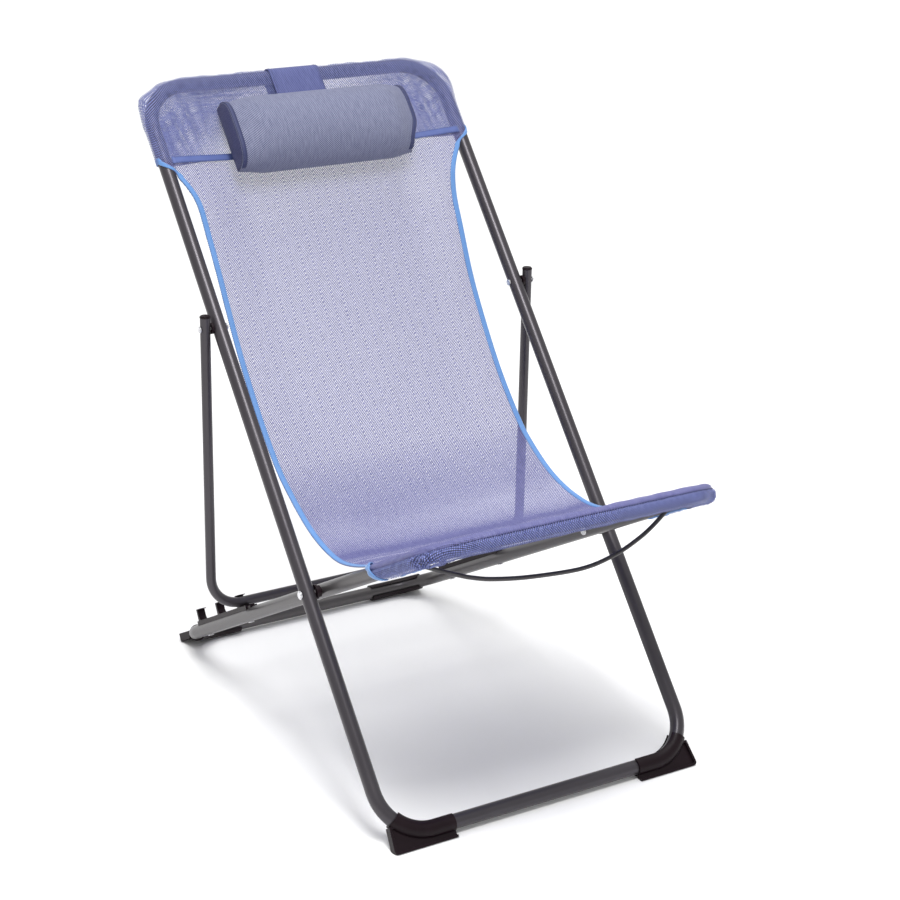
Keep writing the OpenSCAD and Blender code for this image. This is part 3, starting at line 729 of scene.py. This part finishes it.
BINDING_W, MOUTH_BINDING_W, BINDING_T = 0.0094, 0.0110, 0.0026
STITCH_IN, STITCH_UP = 0.76, 0.46  # a binding's stitching, as shares of its width and thickness
HEAD_TAPE_W, HEAD_TAPE_T = 0.0115, 0.0012
HEM_W, HEM_T = 0.0070, 0.0024


def side_binding(side):
    """The light tape along one edge, as rows across it: from behind the back tube, round it, turning
    inwards at the mouth, and down the sling's edge."""
    across = np.linspace(0, BINDING_W, 9)
    edge_turn = (SIDE_HALF[0] - BACK_HALF) / CLOTH_R
    strip, outs = [], []
    wrapped = [(turn, 0.0) for turn in np.linspace(math.radians(200), edge_turn, 10)]
    wrapped += [(edge_turn, lean) for lean in np.linspace(0, math.pi / 2, 7)[1:-1]]
    for turn, lean in wrapped:
        turns = turn - across * math.sin(lean) / CLOTH_R
        strip.append(on_back(side * (BACK_HALF + CLOTH_R * np.sin(turns)), HEAD_MOUTH - across * math.cos(lean),
                             CLOTH_R * np.cos(turns)))
        outs.append(side * np.sin(turns)[:, None] * ACROSS + np.cos(turns)[:, None] * BACK_OUT)
    for row, normals in zip(ROWS[:, ::-side], ROW_NORMALS[:, ::-side]):
        far = lengths(row)
        strip.append(np.stack([np.interp(across, far, row[:, k]) for k in range(3)], 1))
        outs.append(np.stack([np.interp(across, far, normals[:, k]) for k in range(3)], 1))
    outs = np.array(outs)
    return np.array(strip) + 0.0006 * outs, outs


def lay_tape(name, strip, outs, thick, material):
    """A folded tape that follows a surface: strip holds its middle, as rows of points across it."""
    rise = thick / 2 * np.sqrt(1 - np.linspace(-1, 1, strip.shape[1]) ** 6)[None, :, None] * outs
    rings = np.concatenate([strip + rise, (strip - rise)[:, -2:0:-1]], axis=1)
    build = Build()
    build.grid(rings, closed=True)
    build.cap(rings[0])
    build.cap(rings[-1])
    return build.make(name, [material])


def mouth_binding_path(side):
    """The line of the light tape round the front pocket's mouth: over the tube and slantwise under."""
    path = [on_seat(side * x, SEAT_MOUTH + forward, CLOTH_R + up) for x, forward, up in
            ((0.206, -0.007, -0.0035), (0.213, -0.006, -0.0018), (0.220, -0.004, -0.0004), (0.227, -0.002, 0.0008))]
    outs = [SEAT_OUT] * len(path)
    for turn in np.linspace(0.1, math.pi, 17):
        out = side * math.sin(turn) * ACROSS + math.cos(turn) * SEAT_OUT
        path.append(front_wrap(turn)[0][0 if side < 0 else -1] + 0.0006 * out)
        outs.append(out)
    return np.array(path), np.array(outs)


def make_bindings():
    side_pieces, mouth_pieces = [], []
    for name, side in (("right", -1), ("left", 1)):
        strip, outs = side_binding(side)
        side_pieces.append(lay_tape("side_binding_" + name, strip, outs, BINDING_T, LIGHT_TAPE))
        line = strip[:, 6] + outs[:, 6] * BINDING_T * STITCH_UP
        side_pieces.append(stitches("side_binding_stitches_" + name, line, outs[:, 6], LIGHT_TAPE))
        path, outs = mouth_binding_path(side)
        mouth_pieces.append(sweep("mouth_binding_" + name, path, outs, -side, MOUTH_BINDING_W, BINDING_T,
                                  LIGHT_TAPE))
        across = side * np.cross(outs, directions(path)) * MOUTH_BINDING_W * STITCH_IN
        line = path - across + outs * BINDING_T * STITCH_UP
        mouth_pieces.append(stitches("mouth_binding_stitches_" + name, line, outs, LIGHT_TAPE))
    return side_pieces, mouth_pieces


bindings, mouth_bindings = make_bindings()
for piece in [sling, *bindings]:
    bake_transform(piece)
for piece in mouth_bindings:
    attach(piece, "seat_frame")


def make_hems():
    """The front pocket's hem underneath: light tape along the sides, dark along the rail."""
    path = front_points[-1]
    beside = fine_rim[3] < 0.3
    made = []
    parts = (("front_hem_right", LIGHT_TAPE, beside & (path[:, 0] < 0)),
             ("front_hem_rail", STRAP_MESH, ~beside),
             ("front_hem_left", LIGHT_TAPE, beside & (path[:, 0] > 0)))
    for name, tape, keep in parts:
        outs = np.broadcast_to(-SEAT_OUT, path[keep].shape)
        hem = sweep(name, path[keep], outs, 1, HEM_W, HEM_T, tape, shift=0.0)
        made.append(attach(hem, "seat_frame"))
    return made


def make_front_seam():
    """The dark line of stitching where the sling and the front pocket are sewn together."""
    keep = (front_rim[3] > 0.75) | ((front_rim[3] > 0.2) & (front_rim[0] > 0))
    path = seam_line[keep]
    away = front_rim[2][keep, None] * ACROSS + front_rim[3][keep, None] * SEAT_FORWARD
    outs = math.sin(SEAM_TURN) * away + math.cos(SEAM_TURN) * SEAT_OUT
    seam = stitches("front_seam", path + outs * 0.0006, outs, THREAD, 0.0046, 0.0042, 0.0018)
    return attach(seam, "seat_frame")


def make_head_tape():
    """The blue tape over the seam between the head pocket and the sling, and its stitching."""
    made = []
    row = 1  # just below the mouth
    inner = np.abs(SIDES) < 0.93
    path = ROWS[row][inner] + 0.0012 * SIDE_OUT[row]
    outs = np.broadcast_to(SIDE_OUT[row], path.shape)
    tape = sweep("head_tape", path, outs, 1, HEAD_TAPE_W, HEAD_TAPE_T, BLUE_TAPE,
                 shift=0.0, sides=14)
    made.append(tape)
    for k, off in enumerate((-0.0042, 0.0042)):
        line = path + 0.0007 * SIDE_OUT[row] + off * BACK_UP
        made.append(stitches("head_tape_stitches_%d" % k, line, outs, THREAD,
                             0.0046, 0.0032, 0.0006))
    for piece in made:
        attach(piece, "back_frame")
    return tape


hems = make_hems()
front_seam = make_front_seam()
head_tape = make_head_tape()


# ---- Pillow ----

PILLOW_HALF = 0.1580
PILLOW_DOWN = 0.111
PILLOW_BACK = 0.0159  # its flat back, out of the back frame's plane
PILLOW_ROUNDS = 44
# Half its height, its depth, and how square its outline is, at its ends and in the middle
PILLOW_END_FORM, PILLOW_MID_FORM = (0.0570, 0.0400, 3.2), (0.0630, 0.0610, 2.3)
PILLOW_CROWN = {-1: 0.0030, 1: 0.0085}  # how far each end panel bulges


def pillow_ring(x):
    """The outline at x as (down, out): up the round front, then back across the flat back. The ends
    are flatter and squarer than the middle, and the lower corner at the left end is crushed."""
    full = smoothstep((PILLOW_HALF - abs(x)) / 0.050)
    tall, deep, square = (end + full * (mid - end) for end, mid in zip(PILLOW_END_FORM, PILLOW_MID_FORM))
    turn = np.linspace(0, math.pi, PILLOW_ROUNDS)
    down = tall * np.sign(np.cos(turn)) * np.abs(np.cos(turn)) ** (2 / square)
    out = PILLOW_BACK + deep * np.sin(turn) ** (2 / square)
    front = np.stack([down, out], 1)
    share = np.linspace(0, 1, 24)[1:-1, None]
    return np.concatenate([front, front[-1] * (1 - share) + front[0] * share])


def crush(x, ring):
    """How far the lower left corner is pushed in along the pillow."""
    near = smoothstep((x - PILLOW_HALF + 0.050) / 0.050) * smoothstep((ring[:, 0] - 0.010) / 0.040)
    return x - 0.011 * near * smoothstep((ring[:, 1] - 0.012) / 0.010)


def make_pillow():
    build = Build()
    shares = np.concatenate([[-1.0, -0.985, -0.965], np.linspace(-0.94, 0.94, 62), [0.965, 0.985, 1.0]])
    xs = shares * PILLOW_HALF
    outlines = [pillow_ring(x) for x in xs]
    rings = np.array([on_back(crush(x, o), PILLOW_DOWN + o[:, 0], o[:, 1]) for x, o in zip(xs, outlines)])
    round_far = np.array([lengths(np.concatenate([o, o[:1]]))[:-1] for o in outlines])
    build.grid(rings, np.stack([np.broadcast_to(xs[:, None], round_far.shape), round_far], -1), closed=True)
    for side in (-1, 1):
        outline = outlines[0]
        centre = np.array([0.0, PILLOW_BACK + 0.016])
        caps, cloth = [], []
        for share in np.linspace(1, 0.02, 10):
            flat = centre + (outline - centre) * share
            x = crush(side * PILLOW_HALF, flat) + side * PILLOW_CROWN[side] * (1 - share ** 2)
            caps.append(on_back(x, PILLOW_DOWN + flat[:, 0], flat[:, 1]))
            cloth.append(flat)
        # The end panels take the second material, the darker one that carries painted shade.
        build.grid(np.array(caps), np.array(cloth), closed=True, paint=1)
        last = np.stack([caps[-1], np.broadcast_to(caps[-1].mean(0), caps[-1].shape)])
        build.grid(last, np.stack([cloth[-1], np.broadcast_to(centre, cloth[-1].shape)]), closed=True, paint=1)
    pillow = build.make("pillow", [PILLOW_MESH, SHADED_PILLOW_END])
    fill(pillow)
    soften = pillow.modifiers.new("smooth", "SUBSURF")
    soften.levels = soften.render_levels = 1
    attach(pillow, "head_pillow")
    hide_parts("pillow_cover", "pillow_foam")
    return pillow


def fill(pillow, most=0.006):
    """Blows the cover up over its foam as cloth. Its flat back and its end seams are held."""
    mesh = pillow.data
    rest = np.array([v.co for v in mesh.vertices], float)
    out = (rest - TOP_RAIL) @ BACK_OUT
    seam = np.abs(np.abs(rest[:, 0]) - PILLOW_HALF) < 0.0015
    held = np.where(out < PILLOW_BACK + 0.002, 1.0, np.where(seam, 0.9, 0.0))
    group = pillow.vertex_groups.new(name="held")
    for index, weight in enumerate(held):
        if weight:
            group.add([index], float(weight), "REPLACE")
    cloth = pillow.modifiers.new("cloth", "CLOTH")
    cloth.settings.use_pressure = True
    cloth.settings.uniform_pressure_force = 4.0
    cloth.settings.effector_weights.gravity = 0
    cloth.settings.quality = 6
    cloth.settings.mass = 0.15
    cloth.settings.tension_stiffness = 12
    cloth.settings.bending_stiffness = 0.3
    cloth.settings.vertex_group_mass = "held"
    cloth.point_cache.frame_start, cloth.point_cache.frame_end = 1, 20
    for number in range(1, 21):
        scene.frame_set(number)
    evaluated = pillow.evaluated_get(bpy.context.evaluated_depsgraph_get())
    moved = np.array([v.co for v in evaluated.data.vertices], float)
    pillow.modifiers.remove(cloth)
    step = moved - rest
    size = np.linalg.norm(step, axis=1)
    step *= (np.minimum(size, most) / np.maximum(size, 1e-9))[:, None]
    mesh.vertices.foreach_set("co", (rest + step).ravel())
    mesh.update()
    scene.frame_set(1)


def onto(piece, points):
    """The nearest points of a piece's surface."""
    mesh = piece.data
    tree = BVHTree.FromPolygons([v.co for v in mesh.vertices], [tuple(f.vertices) for f in mesh.polygons])
    return np.array([tree.find_nearest(Vector(p))[0] for p in points])


def make_pillow_seams():
    """The raised flange round the front of each end, with its two rows of topstitching."""
    made = []
    for side, name in ((-1, "right"), (1, "left")):
        for kind, inward in (("flange", 0.0044), ("outer", 0.0020), ("inner", 0.0068)):
            x = side * (PILLOW_HALF - inward)
            ring = pillow_ring(x)[3:PILLOW_ROUNDS - 2]
            points = onto(pillow, on_back(crush(x, ring), PILLOW_DOWN + ring[:, 0], ring[:, 1]))
            down, out = directions(ring)[:, ::-1].T * np.array([[1], [-1]])
            outs = out[:, None] * BACK_OUT - down[:, None] * BACK_UP
            outs *= np.where(outs @ BACK_OUT < 0, -1, 1)[:, None]
            label = "pillow_%s_%s" % (kind, name)
            if kind == "flange":
                made.append(sweep(label, points + outs * 0.0003, outs, 1, 0.0076, 0.0022, PILLOW_FLANGE,
                                  shift=0.0))
            else:
                made.append(stitches(label, points + outs * 0.0014, outs, THREAD,
                                     0.0050, 0.0034, 0.0009))
    for piece in made:
        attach(piece, "head_pillow")


pillow = make_pillow()
make_pillow_seams()


# ---- Strap over the top rail ----

STRAP_LEFT, STRAP_RIGHT = 0.042, -0.046
STRAP_R = 0.0139
STRAP_TAIL = 0.080
STRAP_T = 0.0014
STRAP_STITCH_IN = 0.004


def make_strap():
    turns = np.linspace(0, math.pi, 17)
    front = [(d, STRAP_R) for d in np.linspace(PILLOW_DOWN, 0.004, 26)]
    over = [(-STRAP_R * math.sin(t), STRAP_R * math.cos(t)) for t in turns]
    back = [(d, -STRAP_R) for d in np.linspace(0.004, STRAP_TAIL, 18)]
    line = np.array(front + over + back)
    far = lengths(line)
    xs = np.linspace(STRAP_RIGHT, STRAP_LEFT, 25)
    ripple = 0.0005 * np.sin(xs[None, :] * 150 + far[:, None] * 40)
    points = on_back(xs[None, :], line[:, :1], line[:, 1:] + ripple * (np.abs(line[:, 1:]) > STRAP_R * 0.95))
    cloth = np.stack(np.broadcast_arrays(xs[None, :], far[:, None]), -1)
    build = Build()
    build.grid(points, cloth)
    strap = build.make("pillow_strap_cloth", [STRAP_MESH], STRAP_T)
    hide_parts("pillow_strap", "strap_tail")
    outs = np.concatenate([np.broadcast_to(BACK_OUT, (len(front), 3)),
                           [math.sin(t) * BACK_UP + math.cos(t) * BACK_OUT for t in turns],
                           np.broadcast_to(-BACK_OUT, (len(back), 3))])
    made = [strap]
    for name, x in (("right", STRAP_RIGHT + STRAP_STITCH_IN), ("left", STRAP_LEFT - STRAP_STITCH_IN)):
        path = on_back(x, line[:, 0], line[:, 1]) + outs * 0.0009
        made.append(stitches("strap_stitches_" + name, path, outs, THREAD,
                             0.0044, 0.0031, 0.0007))
    for piece in made:
        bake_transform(piece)
    return strap, far[-1]


strap, strap_length = make_strap()


# ---- The sling's cut area, worked out from the lines that it was laid out on, and not used further ----

def declare_sheets():
    wrap = CLOTH_R * SEAM_TURN
    area = float(np.trapz(2 * half_width(SIDE_FAR), SIDE_FAR))
    area += 2 * SEAT_HALF * SEAT_REACH - (4 - math.pi) * BEND_R ** 2 / 2 + wrap * 2 * (SEAT_HALF + SEAT_REACH)


declare_sheets()


# ---- Retaining cord ----

CORD_D = 0.0065
CORD_ROUTE = [  # across, back from the back frame's floor rail, up
    (-0.215, 0.015, 0.420), (-0.207, 0.015, 0.416), (-0.190, 0.014, 0.408), (-0.170, 0.013, 0.399),
    (-0.150, 0.013, 0.3905), (-0.129, 0.012, 0.3825), (-0.097, 0.012, 0.373), (-0.047, 0.012, 0.364),
    (0.004, 0.012, 0.3585), (0.040, 0.012, 0.356), (0.065, 0.012, 0.356), (0.090, 0.012, 0.359),
    (0.125, 0.012, 0.368), (0.159, 0.012, 0.383), (0.180, 0.013, 0.395), (0.198, 0.014, 0.408),
    (0.207, 0.015, 0.415), (0.215, 0.015, 0.420),
]


def make_cord():
    route = np.array(CORD_ROUTE) - np.array([0, FLOOR_RAIL, 0])
    line = through(route, route[:1], route[-1:], 5)
    curve = bpy.data.curves.new("retaining_cord", "CURVE")
    curve.dimensions = "3D"
    curve.bevel_depth = CORD_D / 2
    curve.bevel_resolution = 6
    curve.use_fill_caps = True
    spline = curve.splines.new("POLY")
    spline.points.add(len(line) - 1)
    spline.points.foreach_set("co", np.column_stack([line, np.ones(len(line))]).ravel())
    spline.use_smooth = True
    cord = bpy.data.objects.new("retaining_cord", curve)
    scene.collection.objects.link(cord)
    curve.materials.append(BLACK_RUBBER)
    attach(cord, "seat_frame")
    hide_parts("stay_cord")


make_cord()


# ---- Floor and light ----

FLOOR_HALF = 30.0
WORLD_LIGHT = 0.66
SUN_LIGHT, SUN_ANGLE, SUN_AIM = 1.75, 55, (0.05, -0.16, -1.0)
STRIP_PLACE, STRIP_AIM, STRIP_SIZE, STRIP_POWER = (-0.40, -1.10, 2.90), (-0.1, 0, 0.6), (0.80, 1.0), 50


def make_stage():
    floor_paint = Nodes("floor")
    floor_paint.set(base=(0.93, 0.93, 0.93, 1), roughness=0.6, specular=0.15)
    mesh = bpy.data.meshes.new("floor")
    far = FLOOR_HALF
    mesh.from_pydata([(-far, -far, 0), (far, -far, 0), (far, far, 0), (-far, far, 0)], [], [(0, 1, 2, 3)])
    mesh.materials.append(floor_paint.material)
    floor = bpy.data.objects.new("floor", mesh)
    scene.collection.objects.link(floor)
    world = bpy.data.worlds.new("world")
    world.use_nodes = True
    background = world.node_tree.nodes["Background"].inputs
    background["Color"].default_value = (1, 1, 1, 1)
    background["Strength"].default_value = WORLD_LIGHT
    scene.world = world
    scene.view_settings.view_transform = "Standard"


def strip_light():
    """A softbox above the front, which gives the tubes their highlight."""
    data = bpy.data.lights.new("top_strip", "AREA")
    data.shape = "RECTANGLE"
    data.size, data.size_y = STRIP_SIZE
    data.energy = STRIP_POWER
    light = bpy.data.objects.new("top_strip", data)
    light.location = STRIP_PLACE
    light.rotation_euler = (Vector(STRIP_AIM) - Vector(STRIP_PLACE)).to_track_quat("-Z", "Y").to_euler()
    scene.collection.objects.link(light)


def overhead_light():
    """A broad overhead softbox, as a wide sun, so that the floor is evenly white."""
    data = bpy.data.lights.new("overhead", "SUN")
    data.energy = SUN_LIGHT
    data.angle = math.radians(SUN_ANGLE)
    light = bpy.data.objects.new("overhead", data)
    light.rotation_euler = Vector(SUN_AIM).to_track_quat("-Z", "Y").to_euler()
    scene.collection.objects.link(light)


make_stage()
overhead_light()
strip_light()
